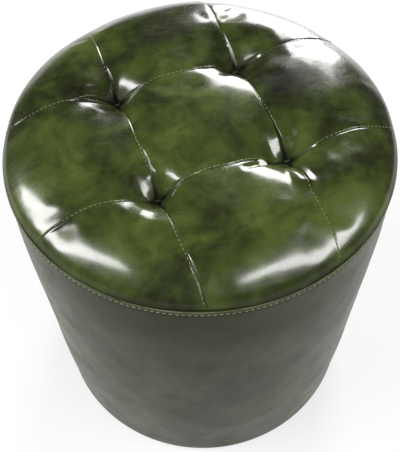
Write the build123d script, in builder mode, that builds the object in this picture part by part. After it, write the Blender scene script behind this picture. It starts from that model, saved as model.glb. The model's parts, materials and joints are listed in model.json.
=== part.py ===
from build123d import *
import os
from math import cos, pi, radians, sin, sqrt

# Round tufted leather pouf, standing on its glides with the base centre at the origin and +Z up.
# The square of four tufts lies along X and Y, and the closing seam of the side is at the back, +Y.

# Overall form
cover_diameter = 360.0  # over the leather on the straight side
seam_height = 375.0  # floor to the sewn rim of the pad
crown_rise = 31.0  # sewn rim to the highest part of the pad
pad_edge_radius = 15.0  # tight bend of the pad just above the rim
pad_edge_turn = 55.0  # degrees turned by the tight bend before the broad one
tuft_spacing = 120.0  # between neighbouring tufts, and between the two lines of a pair

# Sewn lines and tufts in the pad
channel_depth = 5.0  # of a sewn line below the crown
channel_half_width = 17.0  # reach of a line's rounded shoulders
channel_shoulder_radius = 40.0  # of the rounded shoulders beside a line
channel_rim_depth = 1.0  # of a sewn line where it runs into the rim
channel_overrun = 3.0  # of the line's cut past the rim and above the crown
tuft_rise = 5.0  # bottom of a tuft above the rim
tuft_floor_reach = 4.0  # of the tuft's bottom along the sewn lines
tuft_floor_waist = 2.6  # of the tuft's bottom between the sewn lines
tuft_throat_rise = 6.0  # of the narrow part above the tuft's bottom
tuft_throat_reach = 12.0
tuft_throat_waist = 6.0
tuft_bell_rise = 13.0  # of the widening part above the tuft's bottom
tuft_bell_reach = 20.5
tuft_bell_waist = 10.5
tuft_shoulder_rise = 20.0  # of the shoulder above the tuft's bottom
tuft_shoulder_reach = 31.0
tuft_shoulder_waist = 17.0
tuft_mouth_reach = 46.0  # of the mouth, just over the crown
tuft_mouth_waist = 27.0

# Sheet layers
leather = 1.2
layer_gap = 0.3  # left between a soft layer and the one beside it
seam_allowance = 10.0  # of leather turned in along a seam
seam_slit = 0.4  # between the two edges of the side at its closing seam
hem_width = 30.0  # of the side turned under the base
hem_bend = 5.0  # outside bend of the hem
dust_cover_thickness = 0.6
dust_cover_margin = 8.0  # from the dust cover's edge to the leather side

# Filling
wadding_thickness = 12.0  # over the seat foam at the crown
seat_foam_thickness = 50.0
side_foam_thickness = 8.0
foam_joint = 1.0  # gap between the meeting ends of the side foam
foam_joint_angle = 30.0  # where the side foam's ends meet
foam_bevel_drop = 19.0  # of the seat foam's bevelled edge
foam_bevel_run = 32.0
dimple_depth = 26.0  # of a tuft's dimple in the seat foam
dimple_mouth_radius = 27.0
dimple_floor_radius = 6.0

# Wooden frame
base_ring_thickness = 15.0
base_ring_width = 55.0
seat_board_thickness = 12.0
panel_thickness = 3.0
panel_joint = 1.0  # gap between the meeting ends of the side panel
post_count = 6
post_depth = 25.0
post_width = 40.0

# Screws
screw_diameter = 4.0
screw_length = 40.0
screw_head_diameter = 8.0
screw_point_length = 6.0
screw_fit = 0.1  # added to the radius of a screw's hole
recess_diameter = 3.0
recess_depth = 1.2

# Staples
staple_crown = 10.0
staple_wire_width = 1.2
staple_wire_thickness = 0.6
panel_staple_leg = 10.0
hem_staple_leg = 8.0
dust_staple_leg = 6.0
panel_staple_count = 18  # in each of the two rows round the panel
joint_staple_count = 4  # down each side of the panel's joint
joint_staple_pitch = 70.0
joint_staple_inset = 9.0  # from the panel's joint
hem_staple_count = 36
hem_staple_inset = 20.0  # from the hem staples to the leather side
dust_staple_count = 24
dust_staple_inset = 17.0  # from the dust cover staples to the leather side
dust_first_angle = 7.5  # turns the dust cover staples clear of the glides

# Glides
glide_height = 5.0
glide_diameter = 26.0
glide_edge = 1.0
glide_count = 4
glide_inset = 33.0  # from a glide's axis to the leather side
glide_first_angle = 45.0
nail_diameter = 2.0
nail_length = 16.0
nail_head_diameter = 8.0
nail_head_thickness = 1.2
nail_cover = 2.0  # plastic under the nail's head
nail_fit = 0.1  # added to the radius of a nail's hole

# Tuft ties
cord_diameter = 2.0
cord_loop = 5.0  # length of the tie across a tuft's bottom
cord_fit = 0.4  # added to the radius of a tie's hole in the soft layers
cord_knot_diameter = 6.0
board_cord_hole = 6.0
washer_diameter = 24.0
washer_thickness = 2.0

# Topstitching
stitch_pitch = 5.0
stitch_length = 3.6
thread_diameter = 0.8
stitch_drop = 6.0  # from a seam to the row of stitches beside it
thread_lift = 0.05  # between the thread and the leather

# Levels, from the floor up
dust_bottom = glide_height
hem_bottom = dust_bottom + dust_cover_thickness
base_bottom = hem_bottom + leather
base_top = base_bottom + base_ring_thickness
crown_height = seam_height + crown_rise
cover_inset = leather + layer_gap
foam_top = crown_height - cover_inset - wadding_thickness
board_top = foam_top - seat_foam_thickness
board_bottom = board_top - seat_board_thickness
allowance_bottom = seam_height - seam_allowance
side_foam_top = allowance_bottom - layer_gap
tuft_floor = seam_height + tuft_rise
washer_bottom = board_bottom - washer_thickness

# Radii, from the leather in
cover_radius = cover_diameter / 2
side_inner = cover_radius - leather
side_foam_outer = side_inner - layer_gap
side_foam_inner = side_foam_outer - side_foam_thickness
panel_outer = side_foam_inner - layer_gap
frame_radius = panel_outer - panel_thickness
allowance_outer = side_inner - layer_gap
allowance_inner = allowance_outer - leather
lap_outer = side_inner - layer_gap
lap_inner = lap_outer - leather
hem_inner = cover_radius - hem_width
ring_bore = frame_radius - base_ring_width
post_centre = frame_radius - post_depth / 2
glide_centre = cover_radius - glide_inset
tuft_offset = tuft_spacing / 2
tuft_places = [
    (tuft_offset, tuft_offset),
    (-tuft_offset, tuft_offset),
    (-tuft_offset, -tuft_offset),
    (tuft_offset, -tuft_offset),
]
back_angle = 90.0
post_angles = [back_angle + 360.0 / post_count * i for i in range(post_count)]

os.makedirs("parts", exist_ok=True)


# Rounded edge of the pad: a tight bend and a broad one, tangent to each other and to the crown
def broad_radius(rise, tight):
    turn = radians(pad_edge_turn)
    return (rise - tight * sin(turn)) / (1 - sin(turn))


def edge_run(rise, tight):
    turn = radians(pad_edge_turn)
    return tight + (broad_radius(rise, tight) - tight) * cos(turn)


# One sewn line along X, cut as a cusp with rounded shoulders that follows the pad's edge to the rim
def channel_cutter(inset):
    rim = sqrt(cover_radius**2 - tuft_offset**2) - channel_rim_depth - inset
    tight = pad_edge_radius - channel_rim_depth - inset
    rise = crown_rise - channel_depth - inset
    broad = broad_radius(rise, tight)
    run = edge_run(rise, tight)
    end = rim - tight
    flat = rim - run
    low = seam_height - channel_overrun
    top = seam_height + rise
    line_plane = Plane(origin=(0, tuft_offset, 0), x_dir=(1, 0, 0), z_dir=(0, -1, 0))
    start_plane = Plane(origin=(-rim, tuft_offset, low), x_dir=(0, 1, 0), z_dir=(0, 0, 1))
    height = channel_depth + channel_overrun
    with BuildPart() as cutter:
        with BuildLine(line_plane):
            Line((-rim, low), (-rim, seam_height))
            CenterArc((-end, seam_height), tight, 180, -pad_edge_turn)
            CenterArc((-flat, top - broad), broad, 180 - pad_edge_turn, pad_edge_turn - 90)
            Line((-flat, top), (flat, top))
            CenterArc((flat, top - broad), broad, 90, pad_edge_turn - 90)
            CenterArc((end, seam_height), tight, pad_edge_turn, -pad_edge_turn)
            Line((rim, seam_height), (rim, low))
        with BuildSketch(start_plane):
            with BuildLine():
                RadiusArc((0, 0), (channel_half_width, channel_depth), channel_shoulder_radius)
                Line((channel_half_width, channel_depth), (channel_half_width, height))
                Line((channel_half_width, height), (-channel_half_width, height))
                Line((-channel_half_width, height), (-channel_half_width, channel_depth))
                RadiusArc((-channel_half_width, channel_depth), (0, 0), channel_shoulder_radius)
            make_face()
        sweep()
    return cutter.part


# One tuft, a four-pointed star that narrows to its bottom, with its points along the sewn lines
def tuft_cutter(inset):
    bottom = tuft_floor - inset
    mouth_rise = crown_rise - tuft_rise + channel_overrun
    levels = [
        (0.0, tuft_floor_reach, tuft_floor_waist),
        (tuft_throat_rise, tuft_throat_reach, tuft_throat_waist),
        (tuft_bell_rise, tuft_bell_reach, tuft_bell_waist),
        (tuft_shoulder_rise, tuft_shoulder_reach, tuft_shoulder_waist),
        (mouth_rise, tuft_mouth_reach, tuft_mouth_waist),
    ]
    diagonal = sqrt(0.5)
    with BuildPart() as cutter:
        for rise, reach, waist in levels:
            far = reach + inset
            near = (waist + inset) * diagonal
            centre = Plane(origin=(tuft_offset, tuft_offset, bottom + rise))
            with BuildSketch(centre):
                with BuildLine():
                    ThreePointArc((far, 0), (near, near), (0, far))
                    ThreePointArc((0, far), (-near, near), (-far, 0))
                    ThreePointArc((-far, 0), (-near, -near), (0, -far))
                    ThreePointArc((0, -far), (near, -near), (far, 0))
                make_face()
        loft()
    return cutter.part


# The quilted pad as one solid, set in by an even distance and standing on a straight skirt:
# one quarter of it takes its two sewn lines and its tuft, and is mirrored to the others
def quilted_form(inset, skirt):
    rim = cover_radius - inset
    tight = pad_edge_radius - inset
    rise = crown_rise - inset
    broad = broad_radius(rise, tight)
    flat = rim - edge_run(rise, tight)
    top = seam_height + rise
    reach = rim + channel_overrun
    channel = channel_cutter(inset)
    tuft = tuft_cutter(inset)
    with BuildPart() as form:
        with BuildSketch(Plane.XZ):
            with BuildLine():
                Line((0, seam_height), (rim, seam_height))
                CenterArc((rim - tight, seam_height), tight, 0, pad_edge_turn)
                CenterArc((flat, top - broad), broad, pad_edge_turn, 90 - pad_edge_turn)
                Line((flat, top), (0, top))
                Line((0, top), (0, seam_height))
            make_face()
        revolve(axis=Axis.Z)
        if skirt > 0:
            with BuildSketch(Plane.XY.offset(seam_height - skirt)):
                Circle(rim)
            extrude(amount=skirt)
        Box(reach, reach, top + channel_overrun, align=(Align.MIN, Align.MIN, Align.MIN), mode=Mode.INTERSECT)
        add(channel, mode=Mode.SUBTRACT)
        add(channel, rotation=(0, 0, -90), mode=Mode.SUBTRACT)
        add(tuft, mode=Mode.SUBTRACT)
        mirror(about=Plane.XZ)
        mirror(about=Plane.YZ)
    return form.part


# One staple with its crown along Y at the origin and its legs up
def staple_solid(leg):
    with BuildPart() as staple:
        with BuildSketch(Plane.YZ):
            with BuildLine():
                Polyline(
                    (-staple_crown / 2, 0),
                    (staple_crown / 2, 0),
                    (staple_crown / 2, leg),
                    (staple_crown / 2 - staple_wire_thickness, leg),
                    (staple_crown / 2 - staple_wire_thickness, staple_wire_thickness),
                    (staple_wire_thickness - staple_crown / 2, staple_wire_thickness),
                    (staple_wire_thickness - staple_crown / 2, leg),
                    (-staple_crown / 2, leg),
                    (-staple_crown / 2, 0),
                )
            make_face()
        extrude(amount=staple_wire_width / 2, both=True)
    return staple.part


# Countersunk screw with a square recess, its head up and its point down
def screw_solid():
    head_height = (screw_head_diameter - screw_diameter) / 2
    with BuildPart() as screw:
        with BuildSketch(Plane.XZ):
            with BuildLine():
                Polyline(
                    (0, 0),
                    (screw_head_diameter / 2, 0),
                    (screw_diameter / 2, -head_height),
                    (screw_diameter / 2, screw_point_length - screw_length),
                    (0, -screw_length),
                    (0, 0),
                )
            make_face()
        revolve(axis=Axis.Z)
        with BuildSketch(Plane.XY):
            Rectangle(recess_diameter, recess_diameter)
        extrude(amount=-recess_depth, mode=Mode.SUBTRACT)
    return screw.part


# The same screw's hole, a little larger all over
def screw_hole():
    hole_radius = screw_diameter / 2 + screw_fit
    mouth_radius = screw_head_diameter / 2 + screw_fit
    with BuildPart() as hole:
        with BuildSketch(Plane.XZ):
            with BuildLine():
                Polyline(
                    (0, 0),
                    (mouth_radius, 0),
                    (hole_radius, hole_radius - mouth_radius),
                    (hole_radius, screw_point_length - screw_length),
                    (0, -screw_length - screw_fit),
                    (0, 0),
                )
            make_face()
        revolve(axis=Axis.Z)
    return hole.part


screw = screw_solid()
hole = screw_hole()

with BuildPart() as seat_board_screws:
    with Locations((0, 0, board_top)):
        with PolarLocations(post_centre, post_count, back_angle):
            add(screw)

with BuildPart() as base_ring_screws:
    with Locations(Location((0, 0, base_bottom), (180, 0, 0))):
        with PolarLocations(post_centre, post_count, -back_angle):
            add(screw)

with BuildPart() as seat_screw_holes:
    with Locations((0, 0, board_top)):
        with PolarLocations(post_centre, post_count, back_angle):
            add(hole)

with BuildPart() as base_screw_holes:
    with Locations(Location((0, 0, base_bottom), (180, 0, 0))):
        with PolarLocations(post_centre, post_count, -back_angle):
            add(hole)

# Staples through the side panel into the base ring, the seat board and the post behind the joint
panel_staple = staple_solid(panel_staple_leg)
staple_levels = [base_bottom + base_ring_thickness / 2, board_bottom + seat_board_thickness / 2]
joint_middle = (base_top + board_bottom) / 2
joint_half_span = joint_staple_pitch * (joint_staple_count - 1) / 2
joint_surface = sqrt(panel_outer**2 - (joint_staple_inset + staple_wire_width / 2) ** 2)
row_surface = sqrt(panel_outer**2 - (staple_crown / 2) ** 2)
row_first_angle = back_angle + 180.0 / panel_staple_count
row_places = [
    Location((0, 0, level), (0, 0, row_first_angle + 360.0 / panel_staple_count * step))
    * Location((row_surface, 0, 0), (0, -90, 0))
    for level in staple_levels
    for step in range(panel_staple_count)
]
joint_places = [
    Location(
        (side * joint_staple_inset, joint_surface, joint_middle - joint_half_span + drop),
        (90, 0, 0),
    )
    for side in (-1, 1)
    for drop in [joint_staple_pitch * step for step in range(joint_staple_count)]
]
with BuildPart() as panel_staples:
    with Locations(*row_places, *joint_places):
        add(panel_staple)

# Staples through the hem and through the dust cover, driven up into the base ring
hem_staple = staple_solid(hem_staple_leg)
with BuildPart() as hem_staples:
    with Locations((0, 0, hem_bottom)):
        with PolarLocations(cover_radius - hem_staple_inset, hem_staple_count):
            add(hem_staple)

dust_staple = staple_solid(dust_staple_leg)
with BuildPart() as dust_cover_staples:
    with Locations((0, 0, dust_bottom - staple_wire_thickness)):
        with PolarLocations(cover_radius - dust_staple_inset, dust_staple_count, dust_first_angle):
            add(dust_staple)

# Nails moulded into the glides and driven up into the base ring
with BuildPart() as glide_nails:
    with Locations((0, 0, nail_cover)):
        with PolarLocations(glide_centre, glide_count, glide_first_angle):
            Cylinder(
                nail_head_diameter / 2,
                nail_head_thickness,
                align=(Align.CENTER, Align.CENTER, Align.MIN),
            )
            Cylinder(
                nail_diameter / 2,
                nail_length,
                align=(Align.CENTER, Align.CENTER, Align.MIN),
            )

# Nail holes through the hem, the dust cover and the base ring
with BuildPart() as nail_holes:
    with Locations((0, 0, nail_cover)):
        with PolarLocations(glide_centre, glide_count, glide_first_angle):
            Cylinder(
                nail_diameter / 2 + nail_fit,
                nail_length + nail_fit,
                align=(Align.CENTER, Align.CENTER, Align.MIN),
            )

# Glides
for number in range(glide_count):
    turn = glide_first_angle + 360.0 / glide_count * number
    place = Plane.XY.rotated((0, 0, turn))
    with BuildPart() as glide:
        with BuildSketch(place):
            with Locations((glide_centre, 0)):
                Circle(glide_diameter / 2)
        extrude(amount=glide_height)
        chamfer(glide.edges().group_by(Axis.Z)[0], length=glide_edge)
        with BuildSketch(place.offset(nail_cover)):
            with Locations((glide_centre, 0)):
                Circle(nail_head_diameter / 2 + nail_fit)
        extrude(amount=nail_head_thickness + nail_fit, mode=Mode.SUBTRACT)
        with BuildSketch(place.offset(nail_cover)):
            with Locations((glide_centre, 0)):
                Circle(nail_diameter / 2 + nail_fit)
        extrude(amount=glide_height - nail_cover, mode=Mode.SUBTRACT)
    glide.part.label = f"glide_{number + 1}"
    export_step(glide.part, f"parts/glide_{number + 1}.step")

# Dust cover stapled under the base
with BuildPart() as dust_cover:
    with BuildSketch(Plane.XY.offset(dust_bottom)):
        Circle(cover_radius - dust_cover_margin)
    extrude(amount=dust_cover_thickness)
    add(dust_cover_staples.part, mode=Mode.SUBTRACT)
    add(nail_holes.part, mode=Mode.SUBTRACT)

# Base ring
with BuildPart() as base_ring:
    with BuildSketch(Plane.XY.offset(base_bottom)):
        Circle(frame_radius)
        Circle(ring_bore, mode=Mode.SUBTRACT)
    extrude(amount=base_ring_thickness)
    add(base_screw_holes.part, mode=Mode.SUBTRACT)
    add(nail_holes.part, mode=Mode.SUBTRACT)
    add(hem_staples.part, mode=Mode.SUBTRACT)
    add(dust_cover_staples.part, mode=Mode.SUBTRACT)
    add(panel_staples.part, mode=Mode.SUBTRACT)

# Seat board with a hole for each tuft tie
with BuildPart() as seat_board:
    with BuildSketch(Plane.XY.offset(board_bottom)):
        Circle(frame_radius)
        with Locations(*tuft_places):
            Circle(board_cord_hole / 2, mode=Mode.SUBTRACT)
    extrude(amount=seat_board_thickness)
    add(seat_screw_holes.part, mode=Mode.SUBTRACT)
    add(panel_staples.part, mode=Mode.SUBTRACT)

# Posts, with their outer faces rounded to the panel
for number, turn in enumerate(post_angles):
    with BuildPart() as post:
        with BuildSketch(Plane.XY.offset(base_top).rotated((0, 0, turn))):
            with Locations((post_centre, 0)):
                Rectangle(post_depth, post_width)
            Circle(frame_radius, mode=Mode.INTERSECT)
        extrude(amount=board_bottom - base_top)
        add(seat_screw_holes.part, mode=Mode.SUBTRACT)
        add(base_screw_holes.part, mode=Mode.SUBTRACT)
        add(panel_staples.part, mode=Mode.SUBTRACT)
    post.part.label = f"post_{number + 1}"
    export_step(post.part, f"parts/post_{number + 1}.step")

# Side panel bent round the frame, with its ends meeting at the back post
with BuildPart() as side_panel:
    with BuildSketch(Plane.XY.offset(base_bottom)):
        Circle(panel_outer)
        Circle(frame_radius, mode=Mode.SUBTRACT)
        with Locations((0, panel_outer)):
            Rectangle(panel_joint, 4 * panel_thickness, mode=Mode.SUBTRACT)
    extrude(amount=board_top - base_bottom)
    add(panel_staples.part, mode=Mode.SUBTRACT)

# Side foam, with a channel for the lap of the cover's closing seam
lap_reach = seam_allowance + leather + layer_gap
with BuildPart() as side_foam:
    with BuildSketch(Plane.XY.offset(base_bottom + layer_gap)):
        Circle(side_foam_outer)
        Circle(side_foam_inner, mode=Mode.SUBTRACT)
    extrude(amount=side_foam_top - base_bottom - layer_gap)
    fillet(
        side_foam.edges().group_by(Axis.Z)[0].sort_by(SortBy.LENGTH)[-1],
        radius=hem_bend - leather - layer_gap,
    )
    with BuildSketch(Plane.XY.offset(base_bottom).rotated((0, 0, foam_joint_angle))):
        with Locations((side_foam_outer, 0)):
            Rectangle(4 * side_foam_thickness, foam_joint)
    extrude(amount=seam_height, mode=Mode.SUBTRACT)
    with BuildSketch(Plane.XY.offset(base_bottom)):
        Circle(side_foam_outer + layer_gap)
        Circle(lap_inner - layer_gap, mode=Mode.SUBTRACT)
        with Locations((0, side_foam_outer)):
            Rectangle(2 * lap_reach, 4 * side_foam_thickness, mode=Mode.INTERSECT)
    extrude(amount=seam_height, mode=Mode.SUBTRACT)

# Seat foam with a bevelled edge and dimples under the tufts, grown by an even distance
def foam_block(growth):
    outer = panel_outer + growth
    inner = panel_outer - foam_bevel_run + growth
    with BuildPart() as block:
        with BuildSketch(Plane.XZ):
            with BuildLine():
                Polyline(
                    (0, board_top),
                    (outer, board_top),
                    (outer, foam_top - foam_bevel_drop),
                    (inner, foam_top),
                    (0, foam_top),
                    (0, board_top),
                )
            make_face()
        revolve(axis=Axis.Z)
        with Locations((0, 0, foam_top)):
            with Locations(*tuft_places):
                Cone(
                    dimple_floor_radius - growth,
                    dimple_mouth_radius - growth,
                    dimple_depth - growth,
                    align=(Align.CENTER, Align.CENTER, Align.MAX),
                    mode=Mode.SUBTRACT,
                )
    return block.part


foam_solid = foam_block(0.0)
foam_room = foam_block(layer_gap)

with BuildPart() as seat_foam:
    add(foam_solid)
    with BuildSketch(Plane.XY.offset(board_top)):
        with Locations(*tuft_places):
            Circle(cord_diameter / 2 + cord_fit)
    extrude(amount=seat_foam_thickness, mode=Mode.SUBTRACT)

# The quilted forms of the cover's outside, its inside and the wadding
outer_form = quilted_form(0.0, 0.0)
inner_form = quilted_form(leather, channel_overrun)
wadding_form = quilted_form(cover_inset, seam_height - side_foam_top)

# Wadding over the foam, inside the cover's seam allowance
with BuildPart() as seat_wadding:
    add(wadding_form)
    add(foam_room, mode=Mode.SUBTRACT)
    with BuildSketch(Plane.XY.offset(side_foam_top)):
        Circle(cover_radius)
        Circle(allowance_inner - layer_gap, mode=Mode.SUBTRACT)
    extrude(amount=seam_height + cover_inset - side_foam_top, mode=Mode.SUBTRACT)
    with BuildSketch(Plane.XY.offset(board_top)):
        with Locations(*tuft_places):
            Circle(cord_diameter / 2 + cord_fit)
    extrude(amount=crown_height - board_top, mode=Mode.SUBTRACT)

# Top cover with its quilting, and its allowance turned down inside the side
with BuildPart() as top_cover:
    add(outer_form)
    add(inner_form, mode=Mode.SUBTRACT)
    with BuildSketch(Plane.XY.offset(seam_height)):
        Circle(side_inner + layer_gap / 2)
        Circle(allowance_inner, mode=Mode.SUBTRACT)
    extrude(amount=leather)
    with BuildSketch(Plane.XY.offset(allowance_bottom)):
        Circle(allowance_outer)
        Circle(allowance_inner, mode=Mode.SUBTRACT)
    extrude(amount=seam_allowance + leather)
    with BuildSketch(Plane.XY.offset(board_top)):
        with Locations(*tuft_places):
            Circle(cord_diameter / 2 + cord_fit)
    extrude(amount=crown_height - board_top, mode=Mode.SUBTRACT)

# Side cover with its hem turned under the base and its ends lapped at the back
with BuildPart() as side_cover:
    with BuildSketch(Plane.XZ):
        with BuildLine():
            Line((hem_inner, hem_bottom), (cover_radius - hem_bend, hem_bottom))
            CenterArc((cover_radius - hem_bend, hem_bottom + hem_bend), hem_bend, 270, 90)
            Line((cover_radius, hem_bottom + hem_bend), (cover_radius, seam_height))
            Line((cover_radius, seam_height), (side_inner, seam_height))
            Line((side_inner, seam_height), (side_inner, hem_bottom + hem_bend))
            CenterArc(
                (cover_radius - hem_bend, hem_bottom + hem_bend), hem_bend - leather, 360, -90
            )
            Line((cover_radius - hem_bend, base_bottom), (hem_inner, base_bottom))
            Line((hem_inner, base_bottom), (hem_inner, hem_bottom))
        make_face()
    revolve(axis=Axis.Z)
    with Locations((0, cover_radius, hem_bottom)):
        Box(
            seam_slit,
            2 * hem_width + leather,
            2 * seam_height,
            mode=Mode.SUBTRACT,
        )
    with BuildSketch(Plane.XY.offset(hem_bottom + hem_bend)):
        Circle(lap_outer)
        Circle(lap_inner, mode=Mode.SUBTRACT)
        with Locations((0, lap_outer)):
            Rectangle(
                seam_allowance,
                4 * leather,
                align=(Align.MIN, Align.CENTER),
                mode=Mode.INTERSECT,
            )
    extrude(amount=side_foam_top - hem_bottom - hem_bend)
    with BuildSketch(Plane.XY.offset(hem_bottom + hem_bend)):
        Circle(side_inner + layer_gap)
        Circle(lap_inner, mode=Mode.SUBTRACT)
        with Locations((-seam_slit / 2, lap_outer)):
            Rectangle(
                leather,
                4 * leather,
                align=(Align.MAX, Align.CENTER),
                mode=Mode.INTERSECT,
            )
    extrude(amount=side_foam_top - hem_bottom - hem_bend)
    with BuildSketch(Plane.XY.offset(hem_bottom + hem_bend)):
        Circle(lap_outer)
        Circle(lap_inner, mode=Mode.SUBTRACT)
        with Locations((-seam_slit, lap_outer)):
            Rectangle(
                leather,
                4 * leather,
                align=(Align.MIN, Align.CENTER),
                mode=Mode.INTERSECT,
            )
    extrude(amount=side_foam_top - hem_bottom - hem_bend)
    add(hem_staples.part, mode=Mode.SUBTRACT)
    add(dust_cover_staples.part, mode=Mode.SUBTRACT)
    add(nail_holes.part, mode=Mode.SUBTRACT)

# Topstitching below the rim and beside the closing seam
thread_radius = thread_diameter / 2
stitch_radius = cover_radius + thread_lift + thread_radius
rim_stitch_count = round(2 * pi * cover_radius / stitch_pitch)
seam_stitch_count = int((seam_height - 2 * stitch_drop - hem_bottom - hem_bend) / stitch_pitch)
with BuildPart() as rim_topstitch:
    with Locations((0, 0, seam_height - stitch_drop)):
        with PolarLocations(stitch_radius, rim_stitch_count):
            Cylinder(thread_radius, stitch_length, rotation=(90, 0, 0))

seam_stitch_depth = sqrt(stitch_radius**2 - stitch_drop**2)
seam_row = Plane(
    origin=(stitch_drop, seam_stitch_depth, (seam_height + hem_bottom + hem_bend) / 2),
    x_dir=(1, 0, 0),
    z_dir=(0, -1, 0),
)
with BuildPart() as back_topstitch:
    with Locations(seam_row):
        with GridLocations(stitch_pitch, stitch_pitch, 1, seam_stitch_count):
            Cylinder(thread_radius, stitch_length, rotation=(90, 0, 0))

# Tuft ties and the washers that hold them under the seat board
loop_level = tuft_floor + thread_lift + cord_diameter / 2
for number, (x, y) in enumerate(tuft_places):
    with BuildPart() as tuft_washer:
        with BuildSketch(Plane.XY.offset(washer_bottom)):
            with Locations((x, y)):
                Circle(washer_diameter / 2)
                Circle(cord_diameter / 2 + cord_fit, mode=Mode.SUBTRACT)
        extrude(amount=washer_thickness)
    tuft_washer.part.label = f"tuft_washer_{number + 1}"
    export_step(tuft_washer.part, f"parts/tuft_washer_{number + 1}.step")

    with BuildPart() as tuft_tie:
        with BuildSketch(Plane.XY.offset(washer_bottom - cord_knot_diameter / 2)):
            with Locations((x, y)):
                Circle(cord_diameter / 2)
        extrude(amount=loop_level - washer_bottom + cord_knot_diameter / 2)
        with Locations((x, y, washer_bottom - cord_knot_diameter / 2)):
            Sphere(cord_knot_diameter / 2)
        with Locations((x, y, loop_level)):
            Cylinder(cord_diameter / 2, cord_loop, rotation=(0, 90, 0))
    tuft_tie.part.label = f"tuft_tie_{number + 1}"
    export_step(tuft_tie.part, f"parts/tuft_tie_{number + 1}.step")

# Names and export
seat_board_screws.part.label = "seat_board_screws"
base_ring_screws.part.label = "base_ring_screws"
panel_staples.part.label = "panel_staples"
hem_staples.part.label = "hem_staples"
dust_cover_staples.part.label = "dust_cover_staples"
glide_nails.part.label = "glide_nails"
dust_cover.part.label = "dust_cover"
base_ring.part.label = "base_ring"
seat_board.part.label = "seat_board"
side_panel.part.label = "side_panel"
side_foam.part.label = "side_foam"
seat_foam.part.label = "seat_foam"
seat_wadding.part.label = "seat_wadding"
top_cover.part.label = "top_cover"
side_cover.part.label = "side_cover"
rim_topstitch.part.label = "rim_topstitch"
back_topstitch.part.label = "back_topstitch"

export_step(seat_board_screws.part, "parts/seat_board_screws.step")
export_step(base_ring_screws.part, "parts/base_ring_screws.step")
export_step(panel_staples.part, "parts/panel_staples.step")
export_step(hem_staples.part, "parts/hem_staples.step")
export_step(dust_cover_staples.part, "parts/dust_cover_staples.step")
export_step(glide_nails.part, "parts/glide_nails.step")
export_step(dust_cover.part, "parts/dust_cover.step")
export_step(base_ring.part, "parts/base_ring.step")
export_step(seat_board.part, "parts/seat_board.step")
export_step(side_panel.part, "parts/side_panel.step")
export_step(side_foam.part, "parts/side_foam.step")
export_step(seat_foam.part, "parts/seat_foam.step")
export_step(seat_wadding.part, "parts/seat_wadding.step")
export_step(top_cover.part, "parts/top_cover.step")
export_step(side_cover.part, "parts/side_cover.step")
export_step(rim_topstitch.part, "parts/rim_topstitch.step")
export_step(back_topstitch.part, "parts/back_topstitch.step")
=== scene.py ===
import json
import math

import bmesh
import bpy
import numpy as np
from mathutils import Matrix, Vector, noise
from mathutils.bvhtree import BVHTree


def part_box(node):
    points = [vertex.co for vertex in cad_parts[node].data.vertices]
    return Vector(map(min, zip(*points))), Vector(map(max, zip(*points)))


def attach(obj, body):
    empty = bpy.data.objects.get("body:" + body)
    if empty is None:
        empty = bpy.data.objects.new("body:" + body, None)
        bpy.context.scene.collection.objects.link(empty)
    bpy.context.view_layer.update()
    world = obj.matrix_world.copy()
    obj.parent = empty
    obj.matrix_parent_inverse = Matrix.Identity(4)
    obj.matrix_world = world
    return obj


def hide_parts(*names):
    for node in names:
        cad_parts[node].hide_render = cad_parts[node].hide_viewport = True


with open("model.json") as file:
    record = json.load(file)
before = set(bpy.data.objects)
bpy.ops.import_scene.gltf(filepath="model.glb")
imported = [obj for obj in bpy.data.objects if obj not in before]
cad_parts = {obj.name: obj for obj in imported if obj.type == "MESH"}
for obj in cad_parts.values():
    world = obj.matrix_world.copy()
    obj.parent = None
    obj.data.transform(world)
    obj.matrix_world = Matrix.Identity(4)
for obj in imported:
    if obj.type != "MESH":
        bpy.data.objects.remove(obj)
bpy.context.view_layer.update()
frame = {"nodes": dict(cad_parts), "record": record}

nodes = frame["nodes"]
scene = bpy.context.scene

# Sizes of the pouf, in metres
R = 0.180  # over the leather side
SEAM = 0.375  # height of the sewn rim
CROWN = 0.031  # pad above the rim
EDGE = 0.015  # tight bend of the pad's edge
TURN = math.radians(55)  # turned by the tight bend
LEATHER = 0.0012
SKIN = LEATHER * 0.8  # modelled thickness, which keeps the layers apart
HEM = 0.0056  # underside of the hem
BEND = 0.005  # of the hem
HEM_WIDTH = 0.030
SWELL = 0.0017  # of the side leather over its foam
WAVE = 0.0007  # unevenness of the side leather
RIPPLE = 0.00025  # and its finer part
LAP_STEP = 0.0011  # depth of the edge of the back lap
LAP_RISE = 0.0006  # of the leather that lies on top
LAP_DIP = 0.0005  # of its topstitching
STITCH = 0.005  # pitch of the topstitching
DROP = 0.006  # from a seam to its topstitching

# Sizes of the quilting, in metres
LINE = 0.060  # from the middle to a sewn line
GROOVE = 0.0030  # depth of a sewn line
GROOVE_SIDE = 0.050  # half width of its groove
GROOVE_SIDE_AT_TUFT = 0.022
FOLD = 0.0007  # from a sewn line to the lip of its fold
LIP = 0.0006  # height of the lip
LIP_SIDE = 0.0006  # half width of the lip
CREASE = 0.0017  # depth of the crease beside the lip
CREASE_AT = 0.0006  # from the sewn line to the crease
CREASE_SIDE = 0.0013  # half width of the crease, which doubles at a tuft
GAPE = 0.0014  # added to that, just beyond a tuft, on the lines along X
LINE_STITCH = 0.0042  # pitch of the thread on the lips
TUFT_DEPTH = 0.0215
TUFT_REACH = 0.0230  # to where a tuft has a little over a third of its depth
TUFT_PULL = 0.032  # reach of a tuft's pull on the sewn lines
HOLLOW = 0.0085  # radius of the painted shade at a tuft's bottom
PLEAT_START = 0.008  # length over which a pleat begins
PLEAT_END = 0.014  # length over which it ends
FULL_BACK = 0.0024  # by which the pad is fuller at its back edge
FULL_RIGHT = 0.0010  # and in the middle of the pillow at +X
MOST_PUFF = 0.0010  # that the filling pushes the leather out
LINE_HELD = 0.0022  # half width that a sewn line holds back from that
RIM_HELD = 0.005  # width that the rim holds back
SLACK = 0.0004  # unevenness of the top leather
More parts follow.
